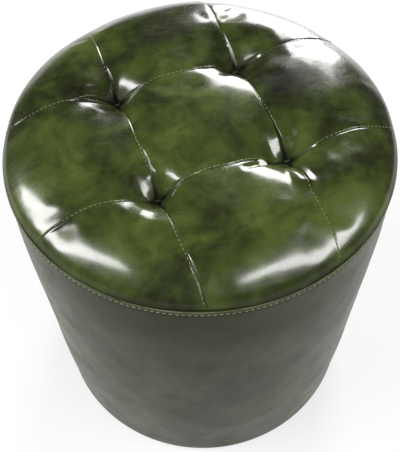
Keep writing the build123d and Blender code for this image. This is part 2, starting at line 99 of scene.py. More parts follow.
FINE_SLACK = 0.0001  # and its finer part
RIM_SHADE = 0.0016  # width of the painted shade along the rim
TURNED_IN = ((0.0012, 0.0010), (0.0030, 0.0030))  # steps of the leather's edge down and inward from the rim
FINE = 0.0042  # half width of the finely divided strip along a sewn line

# The tufts: the relative size of the hollow towards each of the four pillows, anticlockwise from +X +Y, and
# the pleats: angle from +X in degrees, start, end, depth, which is below nought on a ridge, and half width
TUFTS = {
    (-LINE, LINE): (
        (1.1, 0.7, 1.3, 0.9),
        (
            (20, 0.005, 0.040, -0.0010, 0.012),
            (160, 0.010, 0.040, -0.0020, 0.008),
            (178, 0.000, 0.040, -0.0030, 0.005),
        ),
    ),
    (LINE, LINE): (
        (1.3, 1.2, 1.2, 1.2),
        (
            (80, 0.000, 0.025, -0.0010, 0.010),
            (190, 0.012, 0.035, -0.0025, 0.012),
            (245, 0.000, 0.035, -0.0015, 0.012),
        ),
    ),
    (-LINE, -LINE): (
        (0.7, 1.2, 1.1, 0.7),
        (
            (40, 0.000, 0.030, 0.0015, 0.012),
            (90, 0.000, 0.030, -0.0040, 0.012),
        ),
    ),
    (LINE, -LINE): (
        (1.0, 1.3, 1.3, 1.4),
        (
            (90, 0.000, 0.030, -0.0040, 0.012),
            (190, 0.008, 0.050, 0.0030, 0.005),
            (265, 0.010, 0.050, -0.0040, 0.012),
        ),
    ),
}

# The pad's edge, measured along the leather from the middle of the pad
BROAD = (CROWN - EDGE * math.sin(TURN)) / (1 - math.sin(TURN))
FLAT = R - EDGE - (BROAD - EDGE) * math.cos(TURN)
SHOULDER = FLAT + BROAD * (math.pi / 2 - TURN)
CUT = SHOULDER + EDGE * TURN  # radius of the leather disc as cut

# The filling, from the frame and in metres
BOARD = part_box("seat_board")[1][2]  # top of the seat board
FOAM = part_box("seat_foam")[1][2]  # top of the seat foam
FOAM_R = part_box("seat_foam")[1][0]
FOAM_BEVEL = 0.019  # fall of the seat foam's edge
FOAM_DIMPLE = 0.025  # depth of the seat foam at a tuft
WRAP_IN = 0.0093  # from the leather's face to the inside of the side foam
WRAP_OUT = 0.0021  # and to its outside
WRAP_CORNER = 0.003  # radius of the side foam's corners
UNDER_LEATHER = 0.0035  # from the top leather's face down to the wadding
OVER_FOAM = 0.0006  # from the foam up to the wadding
LEAST_WADDING = 0.0010  # thickness at the tufts
SAG = 0.0016  # of the dust cover
SAG_R = 0.110  # radius over which it sags

# The camera that was fitted to the photograph, in metres and in pixels of the image
PHI = math.radians(19.51)  # turned about the upright axis
ELEVATION = math.radians(56.098)
ROLL = math.radians(-1.307)
DISTANCE = 0.756126  # from its aim
AIM_RIGHT = -0.001386
AIM_DROP = 0.1478952  # below the rim
IMAGE_WIDTH = 400
FOCAL = 686.17
SENSOR = 36.0  # millimetres

behind = Vector((math.sin(PHI), math.cos(PHI), 0))
rightward = Vector((math.cos(PHI), -math.sin(PHI), 0))
upright = Vector((0, 0, 1))


# Finishes


class Link:
    """A socket of a finish, with arithmetic."""

    def __init__(self, finish, socket):
        self.finish = finish
        self.socket = socket

    def calc(self, operation, *values):
        sockets = {i: v for i, v in enumerate(values)}
        return self.finish.node("Math", {"operation": operation}, sockets)

    def __add__(self, other):
        return self.calc("ADD", self, other)

    __radd__ = __add__

    def __sub__(self, other):
        return self.calc("SUBTRACT", self, other)

    def __rsub__(self, other):
        return self.calc("SUBTRACT", other, self)

    def __mul__(self, other):
        return self.calc("MULTIPLY", self, other)

    __rmul__ = __mul__

    def __pow__(self, other):
        return self.calc("POWER", self, other)

    def __abs__(self):
        return self.calc("ABSOLUTE", self)

    def fit(self, low, high, to_low=0.0, to_high=1.0):
        values = {"From Min": low, "From Max": high, "To Min": to_low, "To Max": to_high}
        settings = {"interpolation_type": "SMOOTHSTEP"}
        return self.finish.node("MapRange", settings, {"Value": self, **values})


class Finish:
    """A material made of nodes."""

    def __init__(self, name):
        self.material = bpy.data.materials.new(name)
        self.material.use_nodes = True
        self.tree = self.material.node_tree
        self.tree.nodes.clear()
        self.place = self.node("TexCoord", out="Object")

    def node(self, kind, settings=None, sockets=None, out=0):
        made = self.tree.nodes.new("ShaderNode" + kind)
        for key, value in (settings or {}).items():
            if key == "stops":
                ramp = made.color_ramp
                while len(ramp.elements) < len(value):
                    ramp.elements.new(0.5)
                for stop, (at, colour) in zip(ramp.elements, value):
                    stop.position = at
                    stop.color = (*colour, 1.0)
            else:
                setattr(made, key, value)
        for key, value in (sockets or {}).items():
            if isinstance(value, Link):
                self.tree.links.new(value.socket, made.inputs[key])
            else:
                made.inputs[key].default_value = value
        return Link(self, made.outputs[out]) if made.outputs else made

    def along(self, axis):
        return self.node("SeparateXYZ", {}, {0: self.place}, axis)

    def turned(self, scale=(1, 1, 1), rotation=(0, 0, 0)):
        return self.node("Mapping", {}, {"Vector": self.place, "Scale": scale, "Rotation": rotation})

    def clouds(self, scale, detail=2.0, roughness=0.5, distortion=0.0, place=None):
        values = {"Scale": scale, "Detail": detail, "Roughness": roughness, "Distortion": distortion}
        return self.node("TexNoise", {}, {"Vector": place or self.place, **values})

    def cells(self, scale, feature="F1", place=None):
        sockets = {"Vector": place or self.place, "Scale": scale}
        return self.node("TexVoronoi", {"feature": feature}, sockets, "Distance")

    def ramp(self, value, *stops):
        return self.node("ValToRGB", {"stops": stops}, {"Fac": value})

    def mix(self, share, a, b):
        return self.node("Mix", {"data_type": "RGBA"}, {0: share, 6: a, 7: b}, 2)

    def drawn(self, name):
        return self.node("Attribute", {"attribute_name": name}, {}, "Fac")

    def bump(self, height, distance, strength=1.0, under=None):
        sockets = {"Height": height, "Distance": distance, "Strength": strength}
        if under:
            sockets["Normal"] = under
        return self.node("Bump", {}, sockets)

    def done(self, **sockets):
        names = {k.replace("_", " "): v for k, v in sockets.items()}
        shader = self.node("BsdfPrincipled", {}, names)
        self.node("OutputMaterial", {}, {"Surface": shader})
        return self.material


def top_leather():
    """Glossy olive leather, worn on the pillow at +X and dull on its tight edge, with painted shade in its
    creases, its tuft hollows and along the rim.
    """
    f = Finish("top_leather")
    x, y, z = (f.along(axis) for axis in "XYZ")
    patches = f.clouds(24, 3, 0.55, 0.6)
    blotches = f.clouds(75, 3, 0.6, 0.4)
    wide = f.clouds(9, 2, 0.5, 0.3)
    dark_side = (x * 0.8 + y * 0.6).fit(0.02, 0.12)
    tone = patches * 0.50 + blotches * 0.20 + wide * 0.50 - 0.07 * dark_side
    colour = f.ramp(
        tone,
        (0.42, (0.008, 0.010, 0.005)),
        (0.53, (0.021, 0.027, 0.008)),
        (0.63, (0.043, 0.058, 0.013)),
        (0.73, (0.070, 0.095, 0.020)),
    )
    # painted shade: the colour goes near black in the creases, the tuft hollows and the line along the rim
    shade = (f.drawn("crease") * 0.75 + f.drawn("hollow") * 0.8).fit(0.0, 1.0)
    colour = f.mix(shade, colour, (0.004, 0.005, 0.002, 1))
    scuffs = f.clouds(60, 6, 0.75, 1.2, f.turned((1, 1.5, 1), (0, 0, 0.35)))
    brushed = f.clouds(130, 6, 0.75, 1.0, f.turned((1, 2.2, 1), (0, 0, 0.35)))
    hair = f.cells(55, "DISTANCE_TO_EDGE", f.turned((1, 2.6, 1), (0, 0, 0.5)))
    wrinkle = hair.fit(0.0, 0.05)
    scratch = (1 - hair.fit(0.0, 0.014)) * scuffs.fit(0.50, 0.62)
    colour = f.mix(0.35 * scratch, colour, (0.11, 0.13, 0.07, 1))
    worn_x, worn_y = 0.104, 0.022
    from_worn = ((x - worn_x) ** 2 + (y - worn_y) ** 2) ** 0.5
    worn_patch_and_edge_highlight = 1 - from_worn.fit(0.016, 0.056)
    streaks = f.clouds(75, 5, 0.7, 0.8, f.turned((1, 3.5, 1), (0, 0, 0.30)))
    worn = worn_patch_and_edge_highlight * streaks.fit(0.35, 0.65, 0.3, 1.0)
    dull = 1 - z.fit(SEAM + 0.003, SEAM + 0.013)
    normal = f.bump(scuffs, 0.0011, 0.10)
    normal = f.bump(brushed, 0.0006, 0.22, normal)
    normal = f.bump(wrinkle, 0.0004, 0.08, normal)
    normal = f.bump(f.clouds(420, 3, 0.6) * 0.6 + f.cells(950) * 0.4, 0.0003, 0.18, normal)
    normal = f.bump(streaks * worn_patch_and_edge_highlight, 0.0008, 0.40, normal)
    rough = 0.17 + 0.16 * scuffs.fit(0.35, 0.75) + 0.05 * blotches
    return f.done(
        Base_Color=colour,
        Roughness=rough + 0.5 * shade + 0.18 * worn + 0.55 * dull,
        Specular_IOR_Level=0.16,
        Coat_Weight=0.82 - 0.75 * shade - 0.60 * worn - 0.75 * dull,
        Coat_Roughness=0.16,
        Normal=normal,
    )


def side_leather():
    """Satin grey-green leather, with painted shade darkening it towards the rim and a pale painted highlight
    along its rolled edge.
    """
    f = Finish("side_leather")
    height = f.along("Z")
    patches = f.clouds(12, 3, 0.55, 0.3)
    blotches = f.clouds(50, 3, 0.6, 0.2)
    colour = f.ramp(
        patches * 0.7 + blotches * 0.3,
        (0.36, (0.018, 0.020, 0.009)),
        (0.52, (0.036, 0.042, 0.016)),
        (0.68, (0.056, 0.067, 0.024)),
    )
    # painted shade: the side is darkened towards the rim, in patches
    painted_upper_shade = height.fit(SEAM - 0.120, SEAM - 0.006) * patches.fit(0.30, 0.55, 0.6, 1.0)
    colour = f.mix(0.75 * painted_upper_shade, colour, (0.017, 0.024, 0.005, 1))
    rolled_edge = SEAM - 0.0012
    # painted highlight: a pale line along the rolled edge
    worn_patch_and_edge_highlight = 1 - abs(height - rolled_edge).fit(0.0002, 0.0007)
    colour = f.mix(worn_patch_and_edge_highlight * blotches.fit(0.3, 0.6, 0.2, 0.6), colour, (0.26, 0.28, 0.16, 1))
    scuffs = f.clouds(30, 6, 0.65, 0.3)
    normal = f.bump(scuffs, 0.0010, 0.14)
    normal = f.bump(f.clouds(400, 3, 0.6) * 0.6 + f.cells(900) * 0.4, 0.0003, 0.25, normal)
    return f.done(
        Base_Color=colour,
        Roughness=0.30 + 0.09 * scuffs.fit(0.35, 0.75),
        Specular_IOR_Level=0.10,
        Specular_Tint=(0.94, 0.98, 0.68, 1),
        Normal=normal,
    )


def thread(name, light, dark):
    f = Finish(name)
    twist = f.node("TexWave", {"bands_direction": "DIAGONAL"}, {"Vector": f.place, "Scale": 700.0})
    fuzz = f.clouds(1500, 2)
    return f.done(
        Base_Color=f.mix(f.clouds(300, 2), (*dark, 1), (*light, 1)),
        Roughness=0.55 + 0.2 * fuzz,
        Normal=f.bump(twist * 0.7 + fuzz * 0.3, 0.0002, 0.5),
    )


def foam():
    f = Finish("foam")
    pits = f.cells(700)
    colour = f.ramp(pits, (0.1, (0.42, 0.33, 0.14)), (0.7, (0.72, 0.62, 0.32)))
    return f.done(Base_Color=colour, Roughness=0.9, Normal=f.bump(pits, 0.0006, 0.6))


def wadding():
    f = Finish("wadding")
    fibre = f.clouds(260, 8, 0.7, 1.5)
    colour = f.ramp(fibre, (0.3, (0.62, 0.62, 0.58)), (0.7, (0.88, 0.88, 0.85)))
    return f.done(Base_Color=colour, Roughness=0.95, Normal=f.bump(fibre, 0.001, 0.7))


def lining():
    f = Finish("lining")
    dots = f.cells(500)
    cloth = dots * 0.7 + f.clouds(900, 4, 0.7) * 0.3
    colour = f.ramp(cloth, (0.2, (0.006, 0.006, 0.006)), (0.8, (0.022, 0.022, 0.021)))
    return f.done(Base_Color=colour, Roughness=0.85, Normal=f.bump(dots, 0.0003, 0.5))


def timber(name, dark, light, stretch, rings):
    f = Finish(name)
    along = f.turned(stretch)
    grain = f.clouds(rings, 5, 0.6, 1.0, along)
    pore = f.clouds(rings * 6, 3, 0.6, 0.0, along)
    colour = f.ramp(grain * 0.75 + pore * 0.25, (0.35, dark), (0.65, light))
    return f.done(Base_Color=colour, Roughness=0.6 + 0.15 * pore, Normal=f.bump(grain, 0.0003, 0.4))


def steel(name, tint):
    f = Finish(name)
    mark = f.clouds(600, 4, 0.6)
    dark = tuple(0.6 * c for c in tint)
    return f.done(
        Base_Color=f.ramp(mark, (0.35, dark), (0.65, tint)),
        Metallic=1.0,
        Roughness=0.3 + 0.2 * mark,
        Normal=f.bump(mark, 0.0001, 0.3),
    )


def moulded(name, dark, light, scale):
    f = Finish(name)
    speck = f.clouds(scale, 3, 0.6)
    colour = f.ramp(speck, (0.3, dark), (0.7, light))
    return f.done(Base_Color=colour, Roughness=0.42 + 0.2 * speck, Normal=f.bump(speck, 0.0001, 0.3))


finishes = {
    "top_leather": top_leather(),
    "side_leather": side_leather(),
    "thread": thread("thread", (0.32, 0.34, 0.18), (0.13, 0.15, 0.07)),
    "foam": foam(),
    "wadding": wadding(),
    "lining": lining(),
    "plywood": timber("plywood", (0.36, 0.22, 0.10), (0.58, 0.41, 0.22), (1, 8, 60), 9),
    "hardboard": timber("hardboard", (0.10, 0.055, 0.026), (0.18, 0.10, 0.05), (1, 1, 1), 160),
    "pine": timber("pine", (0.50, 0.30, 0.12), (0.72, 0.51, 0.26), (14, 14, 1), 8),
    "screw_steel": steel("screw_steel", (0.62, 0.52, 0.24)),
    "staple_steel": steel("staple_steel", (0.55, 0.55, 0.55)),
    "glide_plastic": moulded("glide_plastic", (0.008, 0.008, 0.008), (0.02, 0.02, 0.02), 300),
    "twine": thread("twine", (0.030, 0.036, 0.014), (0.012, 0.014, 0.006)),
    "washer_fibre": moulded("washer_fibre", (0.12, 0.035, 0.018), (0.22, 0.07, 0.035), 240),
}


# Helpers for meshes


def mesh_of(name, bm):
    mesh = bpy.data.meshes.new(name)
    bm.to_mesh(mesh)
    bm.free()
    return mesh


def placed(name, data):
    made = bpy.data.objects.new(name, data)
    scene.collection.objects.link(made)
    return made


def piece(name, bm, slot):
    mesh = mesh_of(name, bm)
    made = placed(name, mesh)
    mesh.materials.append(finishes[slot])
    mesh.polygons.foreach_set("use_smooth", [True] * len(mesh.polygons))
    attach(made, "root")
    return made


def thicken(made):
    thick = made.modifiers.new("thickness", "SOLIDIFY")
    thick.thickness = SKIN
    thick.offset = -1


def points_of(mesh):
    points = np.empty(len(mesh.vertices) * 3)
    mesh.vertices.foreach_get("co", points)
    return points.reshape(-1, 3)


def spun(profile, steps, close=False):
    """A full turn of a profile of (radius, height) points about the upright axis."""
    bm = bmesh.new()
    points = [bm.verts.new((r, 0, z)) for r, z in profile]
    edges = [bm.edges.new(pair) for pair in zip(points, points[1:])]
    if close:
        edges.append(bm.edges.new((points[-1], points[0])))
    bmesh.ops.spin(
        bm,
        geom=points + edges,
        axis=(0, 0, 1),
        cent=(0, 0, 0),
        angle=math.tau,
        steps=steps,
        use_merge=True,
        use_duplicate=False,
    )
    bmesh.ops.remove_doubles(bm, verts=bm.verts, dist=1e-6)
    bmesh.ops.recalc_face_normals(bm, faces=bm.faces)
    return bm


def rise(value, low, high):
    """A smooth step from nought at low to one at high."""
    share = np.clip((value - low) / (high - low), 0, 1)
    return share * share * (3 - 2 * share)


def hill(value):
    """A round bump, one at nought and a little over a third at one."""
    return np.exp(-(value**2))


# Shape of the quilted pad, over u and v on the flat leather


def rolled(u, v):
    """Where the flat leather lies on the smooth pad, and its outward normal."""
    s = np.hypot(u, v)
    broad = np.clip((s - FLAT) / BROAD, 0, math.pi / 2 - TURN)
    tight = np.clip((s - SHOULDER) / EDGE, 0, None)
    tilt = broad + tight
    reach = np.minimum(s, FLAT) + BROAD * np.sin(broad)
    height = CROWN - BROAD * (1 - np.cos(broad))
    outer = s > SHOULDER
    reach = np.where(outer, R - EDGE + EDGE * np.sin(tilt), reach)
    height = np.where(outer, EDGE * np.cos(tilt), height)
    away = np.maximum(s, 1e-9)
    place = np.stack([u / away * reach, v / away * reach, SEAM + height], -1)
    normal = np.stack([u / away * np.sin(tilt), v / away * np.sin(tilt), np.cos(tilt)], -1)
    return place, normal


def across_lines(u, v):
    """Distances towards +X and +Y from the nearest sewn lines, which stray a little, most at their ends."""

    def stray(t):
        return np.clip((np.abs(t) - LINE) / 0.1, 0, None) ** 2

    line_u = np.where(u < 0, -LINE - 0.002 * stray(v) * (v > 0), LINE + 0.006 * stray(v) * (v > 0))
    line_v = np.where(v < 0, -LINE - 0.005 * stray(u), LINE + 0.0045 * stray(u))
    wander_u = 0.0007 * np.sin(v * 46 + np.sign(u)) + 0.0004 * np.sin(v * 113 + 2)
    wander_v = 0.0007 * np.sin(u * 41 + 2 * np.sign(v)) + 0.0004 * np.sin(u * 127 + 1)
    return u - line_u + wander_u, v - line_v + wander_v


def fold_sides(u, v):
    """Which way the folds of the sewn lines are turned: along Y, then along X."""
    along_y = np.where((u > 0) & (v < 0) & (v > -LINE), -1, 1)
    along_x = np.where((u > LINE) & (v > 0), -1, 1)
    return along_y, along_x


def from_tuft(u, v):
    return np.minimum.reduce([np.hypot(u - x, v - y) for x, y in TUFTS])


def drawn_lines(u, v):
    """How far the sewn lines draw the leather in."""
    du, dv = across_lines(u, v)
    s = np.hypot(u, v)
    close = hill(from_tuft(u, v) / TUFT_PULL)
    side = GROOVE_SIDE + (GROOVE_SIDE_AT_TUFT - GROOVE_SIDE) * close
    a, b = (GROOVE / 2 * (1 + np.cos(math.pi * np.clip(np.abs(d) / side, 0, 1))) for d in (du, dv))
    # the line at +X is lapped: its -X side is drawn in less, except near the tufts and in front
    middle = 0.6 * (1 - rise(np.abs(v), 0.030, 0.055))
    back = rise(v, 0.075, 0.110)
    a = a * (1 - np.maximum(middle, back) * rise(-du, 0, 0.003) * (u > 0))
    rim_fade = 1 - 0.65 * rise(s, FLAT, CUT)
    return (np.maximum(a, b) + 0.35 * np.minimum(a, b)) * rim_fade


def fullness(u, v):
    """How much fuller the pad is at its back edge and in the middle of the pillow at +X."""
    s = np.hypot(u, v)
    back = hill((np.arctan2(v, u) - (math.pi / 2 - PHI)) / 0.25)
    back = back * rise(s, 0.130, 0.170) * rise(CUT - s, 0, 0.010)
    right = hill((u - 0.105) / 0.030) * hill((v + 0.012) / 0.030)
    return FULL_BACK * back + FULL_RIGHT * right


def drawn_tufts(u, v):
    """How far the tufts and their pleats draw the leather down."""
    depth = np.zeros_like(u)
    for (x, y), (corners, pleats) in TUFTS.items():
        away = np.hypot(u - x, v - y)
        turn = np.arctan2(v - y, u - x)
        shares = [np.clip(np.cos(turn - math.pi * (0.25 + 0.5 * i)), 0, 1) ** 2 for i in range(4)]
        size = sum(corner * share for corner, share in zip(corners, shares))
        star = 1 + 0.35 * np.abs(np.sin(2 * turn)) ** 0.7
        depth += TUFT_DEPTH * np.exp(-((away * star / (TUFT_REACH * size)) ** 1.7))
        for angle, start, end, deep, half in pleats:
            along = away * np.cos(turn - math.radians(angle))
            across = away * np.sin(turn - math.radians(angle))
            begun = rise(along, start, start + PLEAT_START)
            ended = rise(along, end - PLEAT_END, end)
            depth += deep * begun * (1 - ended) * (1 - np.clip(np.abs(across) / half, 0, 1) ** 2) ** 2
    return depth


def shaped(u, v):
    """The pad as sewn, before the filling pushes it out, and the outward normal of the smooth pad."""
    place, normal = rolled(u, v)
    drawn = drawn_lines(u, v) - fullness(u, v)
    down = np.array([0, 0, -1])
    return place - normal * drawn[:, None] + down * drawn_tufts(u, v)[:, None], normal


def folds(u, v):
    """The narrow stitched fold in each sewn line: how much its lip stands up, and its crease goes in."""
    s = np.hypot(u, v)
    away = from_tuft(u, v)
    ends = rise(s, 0.135, 0.165) * np.where(u * v > 0, 0.45, 0.1)
    firm = np.clip(0.18 + hill(away / 0.036) + ends, 0, 1)
    firm = firm * (0.85 + 0.15 * np.sin(u * 140 - v * 133)) * rise(CUT - s, 0, 0.006)
    # the lines along X gape a little beyond each tuft, which also widens their painted shade
    beyond = np.where(u > 0, u - LINE, u + LINE)
    gape = GAPE * rise(beyond, 0, 0.008) * (1 - rise(beyond, 0.016, 0.040))
    half = CREASE_SIDE * (1 + hill(away / 0.026))
    du, dv = across_lines(u, v)
    along_y, along_x = fold_sides(u, v)
    lip = np.zeros_like(u)
    crease = np.zeros_like(u)
    for d, width in ((du * along_y, half), (-dv * along_x, half + gape)):
        lip = np.maximum(lip, hill((d + FOLD) / LIP_SIDE))
        crease = np.maximum(crease, 1 - np.clip(np.abs(d - CREASE_AT) / width, 0, 1))
    return firm * lip * rise(away, 0.004, 0.014), firm * crease


def flat_grid(positions):
    """A square grid of leather at the given positions both ways, trimmed to the cut disc."""
    n = len(positions) - 1
    bm = bmesh.new()
    bmesh.ops.create_grid(bm, x_segments=n, y_segments=n, size=1)
    for vert in bm.verts:
        i, j = (round((c + 1) / 2 * n) for c in vert.co.xy)
        vert.co = (positions[i], positions[j], 0)
    outside = [f for f in bm.faces if f.calc_center_median().length > CUT]
    bmesh.ops.delete(bm, geom=outside, context="FACES")
    for vert in bm.verts:
        if vert.is_boundary:
            vert.co *= CUT / vert.co.length
    return bm


def settle(blank, held):
    """Let the filling's pressure push a leather blank out, with some of its points held."""
    sewn = blank.vertex_groups.new(name="sewn")
    sewn.add([int(i) for i in np.flatnonzero(held)], 1.0, "REPLACE")
    cloth = blank.modifiers.new("cloth", "CLOTH")
    cloth.settings.vertex_group_mass = "sewn"
    cloth.settings.quality = 7
    cloth.settings.mass = 0.25
    cloth.settings.tension_stiffness = 18
    cloth.settings.compression_stiffness = 18
    cloth.settings.shear_stiffness = 8
    cloth.settings.bending_stiffness = 6.0
    cloth.settings.shrink_min = -0.004
    cloth.settings.use_pressure = True
    cloth.settings.uniform_pressure_force = 0.4
    cloth.settings.effector_weights.gravity = 0
    cloth.collision_settings.use_collision = False
    for number in range(1, 21):
        scene.frame_set(number)
    return points_of(blank.evaluated_get(bpy.context.evaluated_depsgraph_get()).to_mesh())


def puffed():
    """How far the filling pushes the leather out between its sewn lines, on an even grid of positions."""
    n = 96
    positions = np.linspace(-CUT, CUT, n + 1)
    spread = np.zeros((n + 1, n + 1, 3))
    mesh = mesh_of("leather_blank", flat_grid(positions))
    blank = placed("leather_blank", mesh)
    u, v = points_of(mesh)[:, :2].T
    start, _ = shaped(u, v)
    mesh.vertices.foreach_set("co", start.ravel())
    mesh.update()
    du, dv = across_lines(u, v)
    near = np.minimum(np.abs(du), np.abs(dv))
    held = (near < LINE_HELD) | (np.hypot(u, v) > CUT - RIM_HELD)
    moved = settle(blank, held) - start
    size = np.linalg.norm(moved, axis=1)
    moved *= (np.minimum(size, MOST_PUFF) / np.maximum(size, 1e-9))[:, None]
    step = positions[1] - positions[0]
    i, j = (np.rint((c + CUT) / step).astype(int) for c in (u, v))
    spread[i, j] = moved
    bpy.data.objects.remove(blank)
    scene.frame_set(1)
    return positions, spread


def between(positions, spread, u, v):
    """The puffed leather's movement at any point of the flat disc, by cubic splines."""
    step = positions[1] - positions[0]
    last = len(positions) - 3 - 1e-6
    x, y = (np.clip((c - positions[0]) / step, 1, last) for c in (u, v))
    i, j = x.astype(int), y.astype(int)

    def weights(t):
        whole = ((1 - t) ** 3, 3 * t**3 - 6 * t**2 + 4, -3 * t**3 + 3 * t**2 + 3 * t + 1, t**3)
        return [w[:, None] / 6 for w in whole]

    total = np.zeros((len(u), 3))
    for a, across in enumerate(weights(x - i)):
        for b, along in enumerate(weights(y - j)):
            total += across * along * spread[i + a - 1, j + b - 1]
    return total


def fine_positions():
    """Grid positions for the leather, close together along the sewn lines."""
    inner = np.linspace(LINE - FINE, 0, 29)[1:]
    strip = LINE + np.linspace(-FINE, FINE, 25)
    outer = np.linspace(LINE + FINE, CUT, 66)[1:]
    half = np.concatenate([inner[::-1], strip, outer])
    return np.concatenate([-half[::-1], half[1:]])


def slack(u, v):
    """Small unevenness of the top leather."""
    broad = np.array([noise.noise(Vector((x * 21, y * 21, 3))) for x, y in zip(u, v)])
    fine = np.array([noise.noise(Vector((x * 62, y * 48, 8))) for x, y in zip(u, v)])
    return SLACK * broad + FINE_SLACK * fine


# Leather and thread


def quilted_top():
    mesh = mesh_of("quilted_top", flat_grid(fine_positions()))
    u, v = points_of(mesh)[:, :2].T
    from_edge = CUT - np.hypot(u, v)
    coords, normal = shaped(u, v)
    free = rise(from_edge, 0, 0.055) * (1 - 0.7 * hill(from_tuft(u, v) / 0.035))
    coords += between(*puffed(), u, v) * free[:, None]
    lip, crease = folds(u, v)
    coords += normal * (LIP * lip - CREASE * crease)[:, None]
    coords += normal * (slack(u, v) * rise(from_edge, 0, 0.060))[:, None]
    mesh.vertices.foreach_set("co", coords.ravel())
    # painted shade: how far the colour darkens in the tuft hollows, the creases and the line along the rim
    hollow = hill(from_tuft(u, v) / HOLLOW)
    crease = np.maximum(crease, hill(from_edge / RIM_SHADE))
    for name, values in (("crease", crease), ("hollow", hollow)):
        mesh.attributes.new(name, "FLOAT", "POINT").data.foreach_set("value", values.astype(np.float32))
    bm = bmesh.new()
    bm.from_mesh(mesh)
    bpy.data.meshes.remove(mesh)
    for down, inward in TURNED_IN:
        rim = [e for e in bm.edges if e.is_boundary]
        grown = bmesh.ops.extrude_edge_only(bm, edges=rim)["geom"]
        for vert in (g for g in grown if isinstance(g, bmesh.types.BMVert)):
            angle = math.atan2(vert.co.y, vert.co.x)
            reach = R - inward
            vert.co = (reach * math.cos(angle), reach * math.sin(angle), SEAM - down)
    bmesh.ops.recalc_face_normals(bm, faces=bm.faces)
    made = piece("quilted_top", bm, "top_leather")
    thicken(made)
    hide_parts("top_cover")
    2 * CUT
    2 * CUT
    math.pi * CUT**2
    return made


def side_profile():
    """The side leather from its edge inside the rim seam, over its rolled edge, to the inside of the hem."""
    wall = np.linspace(SEAM - 0.012, HEM + BEND, 40)
    bend = np.linspace(0, math.pi / 2, 7)[1:]
    hem = np.linspace(0, HEM_WIDTH - BEND, 5)[1:]
    return [
        (R - 0.0050, SEAM - 0.0042),
        (R - 0.0028, SEAM - 0.0022),
        (R - 0.0016, SEAM - 0.0009),
        (R - 0.0004, SEAM - 0.0004),
        (R + 0.0004, SEAM - 0.0010),
        (R + 0.0006, SEAM - 0.0022),
        (R + 0.0003, SEAM - 0.0038),
        (R - 0.0003, SEAM - 0.0052),
        (R - 0.0005, SEAM - DROP),
        (R - 0.0003, SEAM - 0.0070),
        (R, SEAM - 0.0090),
        *[(R, z) for z in wall],
        *[(R - BEND + BEND * math.cos(a), HEM + BEND - BEND * math.sin(a)) for a in bend],
        *[(R - BEND - x, HEM) for x in hem],
    ]


def back_lap(arc):
    """How far the lapped closing seam stands out, by the arc from the back."""
    edge = LAP_STEP * hill(arc / 0.0007)
    over = LAP_RISE * rise(-arc, 0, 0.002) * (1 - rise(-arc, 0.0095, 0.0125))
    stitched = LAP_DIP * hill((-arc - DROP) / 0.0012)
    return over - edge - stitched


def side_skin():
    bm = spun(side_profile(), 360)
    for vert in bm.verts:
        x, y, z = vert.co
        reach = math.hypot(x, y)
        even = math.atan2(-x, y)  # nought at the back
        angle = even - 0.85 * math.sin(even)  # closer together at the back, for the lap
        around = Vector((math.sin(angle), math.cos(angle), 0))
        wave = WAVE * noise.noise(around * 2.2 + upright * z * 9)
        wave += RIPPLE * noise.noise(around * 7 + upright * z * 34)
        on_wall = rise(z, HEM, HEM + 0.020) * rise(SEAM - z, 0.004, 0.034)
        near_wall = reach > R - 0.0035
        reach += wave * on_wall
        if near_wall:
            swell = SWELL * rise(SEAM - z, 0, 0.070) * rise(z, 0.020, 0.110)
            reach += back_lap(R * angle) + swell
        if z < HEM + 0.0003 and reach < R - BEND:
            z += 0.0003 * math.sin(angle * 60)
        vert.co = (-reach * math.sin(angle), reach * math.cos(angle), z)
    bmesh.ops.recalc_face_normals(bm, faces=bm.faces)
    made = piece("side_skin", bm, "side_leather")
    thicken(made)
    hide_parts("side_cover")


def stitch(bm, place, along, out, length, width):
    side = along.cross(out).normalized()
    up = side.cross(along).normalized()
    turn = Matrix((along.normalized(), side, up)).transposed().to_4x4()
    size = Matrix.Diagonal((length / 2, width / 2, width / 2, 1))
    matrix = Matrix.Translation(place) @ turn @ size
    bmesh.ops.create_uvsphere(bm, u_segments=6, v_segments=6, radius=1, matrix=matrix)


def rim_stitches():
    bm = bmesh.new()
    count = round(math.tau * R / STITCH)
    for i in range(count):
        angle = math.tau * i / count
        out = Vector((math.cos(angle), math.sin(angle), 0))
        along = Vector((-out.y, out.x, 0.07 + 0.03 * math.sin(i * 1.7)))
        place = out * (R + 0.0001) + upright * (SEAM - DROP)
        stitch(bm, place, along, out, length=0.0042, width=0.0009)
    made = piece("rim_stitches", bm, "thread")
    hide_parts("rim_topstitch")


def back_stitches():
    bm = bmesh.new()
    low = HEM + BEND + 0.004
    high = SEAM - 2 * DROP
    angle = math.pi / 2 - DROP / R
    out = Vector((math.cos(angle), math.sin(angle), 0))
    along = Vector((0.05, 0, 1))
    for i in range(int((high - low) / STITCH)):
        place = out * (R + 0.0003) + upright * (high - STITCH * (i + 0.5))
        stitch(bm, place, along, out, length=0.0039, width=0.0010)
    made = piece("back_stitches", bm, "thread")
    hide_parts("back_topstitch")


def line_places():
    """Each stitch of the sewn lines: whether its line runs along X, and where it is on the flat leather."""
    most = int(CUT / LINE_STITCH)
    for along_x in (False, True):
        for base in (-LINE, LINE):
            for i in range(-most, most + 1):
                t = i * LINE_STITCH
                at_tuft = abs(abs(t) - LINE) < 0.024
                at_rim = math.hypot(t, base) > CUT - 0.008
                if not (at_tuft or at_rim):
                    yield along_x, (t, base) if along_x else (base, t)


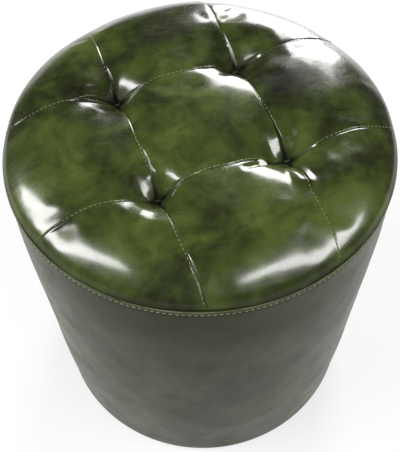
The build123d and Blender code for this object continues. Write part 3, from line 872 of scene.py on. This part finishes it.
def line_stitches(top):
    """Thread on the lips of the sewn lines, laid on the finished leather."""
    mesh = top.data
    tree = BVHTree.FromPolygons([v.co for v in mesh.vertices], [tuple(p.vertices) for p in mesh.polygons])
    bm = bmesh.new()
    for along_x, spot in line_places():
        u, v = (np.array([c]) for c in spot)
        du, dv = across_lines(u, v)
        side_y, side_x = fold_sides(u, v)
        if along_x:
            v = v + FOLD * side_x - dv
        else:
            u = u - FOLD * side_y - du
        place, normal = rolled(u, v)
        out = Vector(normal[0])
        hit, face, _, _ = tree.ray_cast(Vector(place[0]) + out * 0.02, -out)
        if hit is None:
            continue
        along = Vector((1, 0, 0)) if along_x else Vector((0, 1, 0))
        along = (along - face * along.dot(face)).normalized()
        stitch(bm, hit + face * 0.00005, along, face, length=0.0028, width=0.0006)
    piece("line_stitches", bm, "thread")


# Filling and lining


def layer(name, slot, radius, top, bottom, rings=40, steps=128):
    """A closed round pad between two height functions of x and y."""
    reach = np.linspace(0, radius, rings)
    profile = [(r, 1.0) for r in reach] + [(r, -1.0) for r in reach[::-1]]
    bm = spun(profile, steps)
    x, y, side = np.array([vert.co for vert in bm.verts]).T
    for vert, z in zip(bm.verts, np.where(side > 0, top(x, y), bottom(x, y))):
        vert.co.z = z
    bmesh.ops.recalc_face_normals(bm, faces=bm.faces)
    return piece(name, bm, slot)


def foam_height(x, y):
    height = FOAM - FOAM_BEVEL * rise(np.hypot(x, y), FOAM_R - 0.032, FOAM_R + 0.004)
    for tuft_x, tuft_y in TUFTS:
        away = np.hypot(x - tuft_x, y - tuft_y)
        height = height - FOAM_DIMPLE * (1 - rise(away, 0.005, 0.027))
    return height


def pad_under(x, y):
    """Just under the leather, for the wadding."""
    r = np.hypot(x, y)
    s = np.where(r < FLAT, r, FLAT + BROAD * np.arcsin(np.clip((r - FLAT) / BROAD, 0, 1)))
    share = s / np.maximum(r, 1e-9)
    u, v = x * share, y * share
    place, _ = rolled(u, v)
    lines = drawn_lines(u, v) - fullness(u, v)
    return place[:, 2] - 1.05 * lines - drawn_tufts(u, v) - UNDER_LEATHER


def seat_foam_pad():
    def on_board(x, y):
        return np.full_like(x, BOARD + 0.0003)

    pad = layer("seat_foam_pad", "foam", FOAM_R - 0.001, foam_height, on_board)
    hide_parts("seat_foam")


def seat_wadding_pad():
    def under_leather(x, y):
        return np.maximum(pad_under(x, y), on_foam(x, y) + LEAST_WADDING)

    def on_foam(x, y):
        return foam_height(x, y) + OVER_FOAM

    pad = layer("seat_wadding_pad", "wadding", R - 0.012, under_leather, on_foam, rings=60, steps=192)
    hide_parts("seat_wadding")


def side_foam_wrap():
    low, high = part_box("side_foam")
    inner = R - WRAP_IN + WRAP_CORNER
    outer = R - WRAP_OUT - WRAP_CORNER
    bottom = low[2] + WRAP_CORNER
    top = high[2] - WRAP_CORNER
    profile = []
    for i, (x, z) in enumerate(((outer, top), (inner, top), (inner, bottom), (outer, bottom))):
        for a in np.linspace(0, math.pi / 2, 4) + i * math.pi / 2:
            profile.append((x + WRAP_CORNER * math.cos(a), z + WRAP_CORNER * math.sin(a)))
    wrap = piece("side_foam_wrap", spun(profile, 128, close=True), "foam")
    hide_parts("side_foam")


def dust_cloth():
    low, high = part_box("dust_cover")
    radius = high[0]
    rings = np.linspace(0, radius, 30)
    profile = [(r, -1.0) for r in rings] + [(r, 1.0) for r in rings[::-1]]
    bm = spun(profile, 144)
    for vert in bm.verts:
        x, y, z = vert.co
        r = math.hypot(x, y)
        sag = SAG * (1 - min(1.0, r / SAG_R) ** 2)
        ripple = 0.00018 * noise.noise(Vector((x * 40, y * 40, 1))) * (1 if r < SAG_R else 0.3)
        vert.co.z = (high[2] if z > 0 else low[2] + 0.0001) - sag + ripple
    bmesh.ops.recalc_face_normals(bm, faces=bm.faces)
    made = piece("dust_cloth", bm, "lining")
    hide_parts("dust_cover")


top = quilted_top()
side_skin()
rim_stitches()
back_stitches()
line_stitches(top)
seat_foam_pad()
seat_wadding_pad()
side_foam_wrap()
dust_cloth()

for entry in frame["record"]["subparts"]:
    node = nodes[entry["node"]]
    node.data.materials.clear()
    node.data.materials.append(finishes[entry["material_slot"]])


# Floor, light and camera


def floor():
    bm = bmesh.new()
    bmesh.ops.create_grid(bm, x_segments=2, y_segments=2, size=6)
    mesh = mesh_of("floor", bm)
    made = placed("floor", mesh)
    f = Finish("floor")
    pale = f.ramp(f.clouds(3, 2), (0.0, (0.24, 0.24, 0.24)), (1.0, (0.27, 0.27, 0.27)))
    white = (1, 1, 1, 1)
    mesh.materials.append(
        f.done(Base_Color=pale, Roughness=0.9, Emission_Color=white, Emission_Strength=0.68)
    )


def panel(name, turn, rise, distance, width, height, power, lean=0, shape="ELLIPSE"):
    """A soft light, turned from straight behind the pouf towards the right, leaning in its own plane."""
    turn, rise = math.radians(turn), math.radians(rise)
    way = math.cos(rise) * (math.cos(turn) * behind + math.sin(turn) * rightward) + math.sin(rise) * upright
    light = bpy.data.lights.new(name, "AREA")
    light.shape = shape
    light.size = width
    light.size_y = height
    light.energy = power
    made = placed(name, light)
    made.location = upright * SEAM + way * distance
    facing = way.to_track_quat("Z", "Y").to_matrix() @ Matrix.Rotation(math.radians(lean), 3, "Z")
    made.rotation_euler = facing.to_euler()


def surroundings():
    """A dim room, which the camera sees as a backdrop as pale as the floor."""
    world = bpy.data.worlds.new("surroundings")
    world.use_nodes = True
    tree = world.node_tree
    backdrop = tree.nodes["Background"]
    backdrop.inputs["Color"].default_value = (1, 1, 1, 1)
    ray = tree.nodes.new("ShaderNodeLightPath")
    strength = tree.nodes.new("ShaderNodeMapRange")
    strength.inputs["To Min"].default_value = 0.02
    strength.inputs["To Max"].default_value = 0.72
    tree.links.new(ray.outputs["Is Camera Ray"], strength.inputs["Value"])
    tree.links.new(strength.outputs["Result"], backdrop.inputs["Strength"])
    scene.world = world


def camera():
    lens = bpy.data.cameras.new("camera")
    lens.sensor_fit = "HORIZONTAL"
    lens.sensor_width = SENSOR
    lens.lens = FOCAL / IMAGE_WIDTH * SENSOR
    lens.clip_start = 0.01
    eye = placed("camera", lens)
    toward = -behind * math.cos(ELEVATION) + upright * math.sin(ELEVATION)
    level_up = behind * math.sin(ELEVATION) + upright * math.cos(ELEVATION)
    right = rightward * math.cos(ROLL) + level_up * math.sin(ROLL)
    above = level_up * math.cos(ROLL) - rightward * math.sin(ROLL)
    aim = rightward * AIM_RIGHT + upright * (SEAM - AIM_DROP)
    facing = Matrix((right, above, toward)).transposed().to_4x4()
    eye.matrix_world = Matrix.Translation(aim + toward * DISTANCE) @ facing
    return eye


floor()
panel("window_behind", turn=16.2, rise=13, distance=2.2, width=0.94, height=1.37, power=57, shape="RECTANGLE")
panel("left_strip", turn=-98, rise=39, distance=1.8, width=2.0, height=0.34, power=37, lean=40)
panel("right_strip", turn=122, rise=48, distance=1.8, width=1.95, height=0.30, power=28, lean=-26)
surroundings()
scene.view_settings.view_transform = "Standard"
bpy.context.scene.camera = camera()
